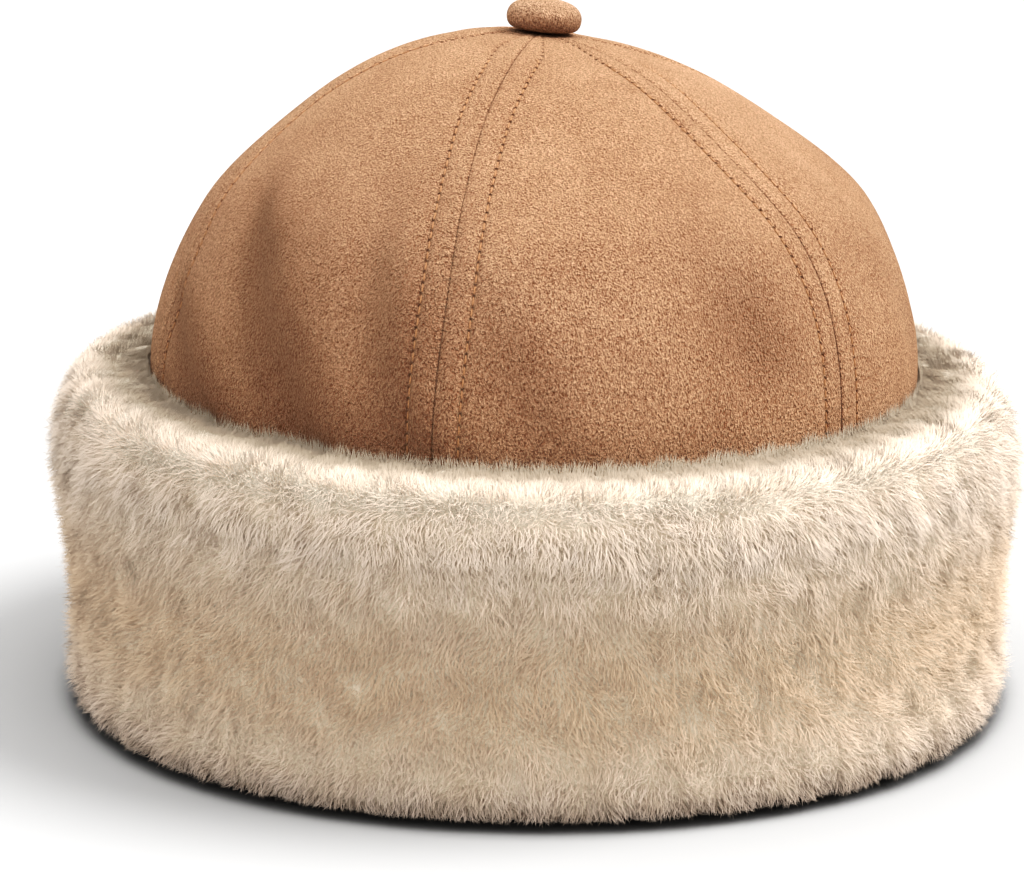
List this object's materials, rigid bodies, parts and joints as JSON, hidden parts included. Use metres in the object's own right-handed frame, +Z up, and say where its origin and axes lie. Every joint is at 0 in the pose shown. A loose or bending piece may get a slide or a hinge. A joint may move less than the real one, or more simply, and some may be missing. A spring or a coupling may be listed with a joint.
{
  "type": "faux shearling cap",
  "caption": "Dome cap of topstitched faux suede panels with a covered button on top and a deep turned-up cuff of plush pile.",
  "frame": {"origin": "on the surface that the cap stands on, at the middle of its outline seen from above", "axes": "+Z up through the crown's button, -Y towards the front, +X to the wearer's left"},
  "size_m": [0.2418, 0.2456, 0.1684],
  "materials": {
    "suede": "tan faux suede with a short matte nap",
    "shearling": "cream faux shearling pile, about 10 mm deep"
  },
  "bodies": {
    "root": {"crown_panel_1": "suede", "crown_panel_2": "suede", "crown_panel_3": "suede", "crown_panel_4": "suede", "crown_panel_5": "suede", "crown_panel_6": "suede", "top_button": "suede", "fur_cuff": "shearling"}
  },
  "joints": []
}
